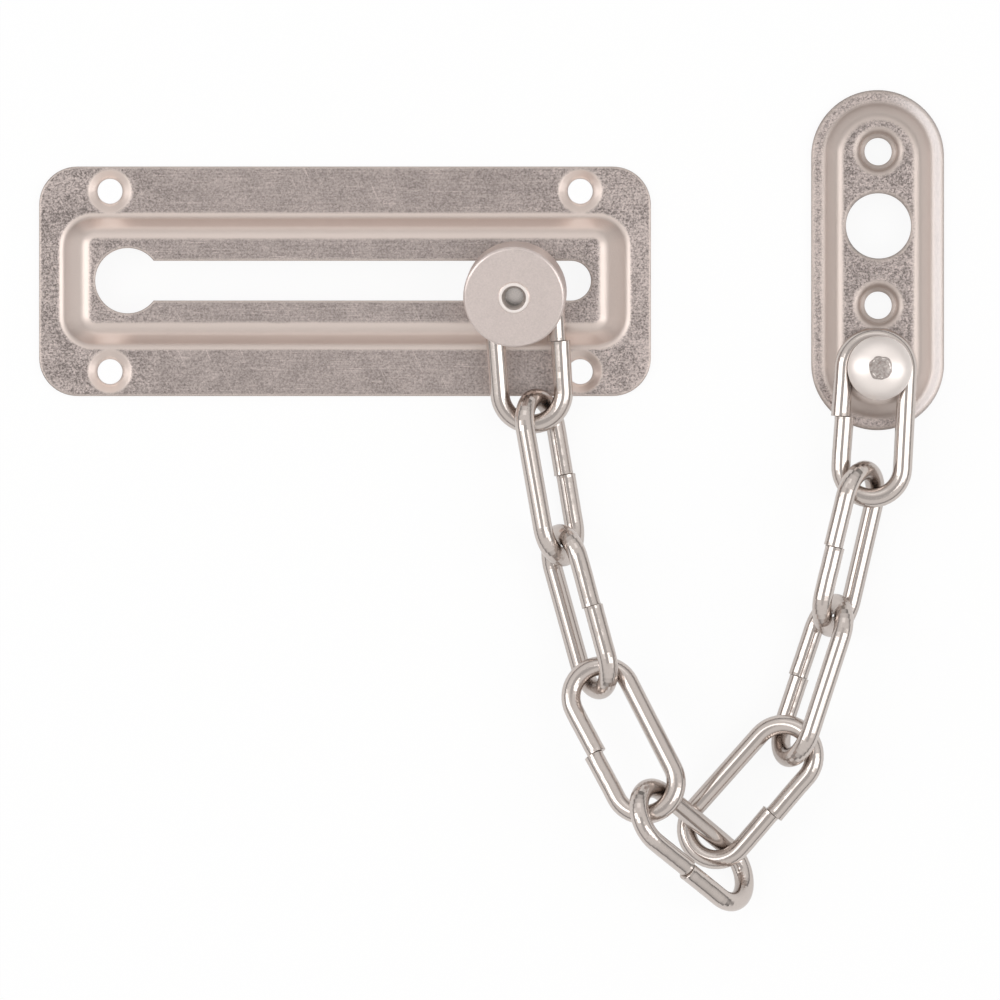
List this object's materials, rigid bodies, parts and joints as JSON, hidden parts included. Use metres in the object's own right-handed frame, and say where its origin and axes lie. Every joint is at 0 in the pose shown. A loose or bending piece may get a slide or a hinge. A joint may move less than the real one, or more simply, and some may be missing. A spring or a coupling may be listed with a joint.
{
  "type": "door chain",
  "caption": "Surface-mounted door chain: a slotted track plate with a sliding knob, a chain of bent wire links and an obround anchor plate with a parking hole.",
  "frame": {"origin": "middle of the track plate's four screw holes, on its back face", "axes": "+X along the track from the keyhole towards the chain, +Z out of the door"},
  "size_m": [0.1775, 0.1607, 0.0236],
  "materials": {
    "plate_nickel": "satin nickel, lightly tumbled",
    "knob_nickel": "satin nickel",
    "rivet_nickel": "satin nickel",
    "link_nickel": "polished nickel"
  },
  "bodies": {
    "root": {"track_plate": "plate_nickel"},
    "knob": {"knob_button": "knob_nickel", "knob_rivet": "rivet_nickel"},
    "link_1": {"link_1": "link_nickel"},
    "link_2": {"link_2": "link_nickel"},
    "link_3": {"link_3": "link_nickel"},
    "link_4": {"link_4": "link_nickel"},
    "link_5": {"link_5": "link_nickel"},
    "link_6": {"link_6": "link_nickel"},
    "link_7": {"link_7": "link_nickel"},
    "link_8": {"link_8": "link_nickel"},
    "link_9": {"link_9": "link_nickel"},
    "anchor": {"anchor_plate": "plate_nickel", "anchor_rivet": "rivet_nickel"}
  },
  "joints": [
    {"name": "knob_slide", "type": "slide", "parent": "root", "child": "knob", "axis": [1, 0, 0], "range_m": [-0.03, 0.0108]},
    {"name": "link_1_swing", "type": "hinge", "parent": "knob", "child": "link_1", "pos_m": [0.03379, -0.00139, 0.00854], "axis": [0, 0, 1], "range_deg": [-30, 8]},
    {"name": "link_2_swing", "type": "hinge", "parent": "link_1", "child": "link_2", "pos_m": [0.03736, -0.02538, 0.00701], "axis": [0, 0, -1], "range_deg": [-28, 8]},
    {"name": "link_3_swing", "type": "hinge", "parent": "link_2", "child": "link_3", "pos_m": [0.0422, -0.05169, 0.00754], "axis": [0, 0, 1], "range_deg": [-26, 16]},
    {"name": "link_4_swing", "type": "hinge", "parent": "link_3", "child": "link_4", "pos_m": [0.04904, -0.07759, 0.00989], "axis": [0, 0, -1], "range_deg": [-12, 10]},
    {"name": "link_5_swing", "type": "hinge", "parent": "link_4", "child": "link_5", "pos_m": [0.0603, -0.10129, 0.01822], "axis": [0, 0, 1], "range_deg": [-6, 12]},
    {"name": "link_6_swing", "type": "hinge", "parent": "link_5", "child": "link_6", "pos_m": [0.07035, -0.10996, 0.00552], "axis": [0, 0, -1], "range_deg": [-4, 4]},
    {"name": "link_7_swing", "type": "hinge", "parent": "link_6", "child": "link_7", "pos_m": [0.08697, -0.0901, 0.00761], "axis": [0, 0, 1], "range_deg": [-28, 12]},
    {"name": "link_8_swing", "type": "hinge", "parent": "link_7", "child": "link_8", "pos_m": [0.09558, -0.06559, 0.00753], "axis": [0, 0, -1], "range_deg": [-15, 22]},
    {"name": "link_9_swing", "type": "hinge", "parent": "link_8", "child": "link_9", "pos_m": [0.10225, -0.03992, 0.00767], "axis": [0, 0, 1], "range_deg": [-20, 18]},
    {"name": "anchor_swing", "type": "hinge", "parent": "link_9", "child": "anchor", "pos_m": [0.10448, -0.01715, 0.005], "axis": [0, 0, -1], "range_deg": [-38, 50]}
  ]
}
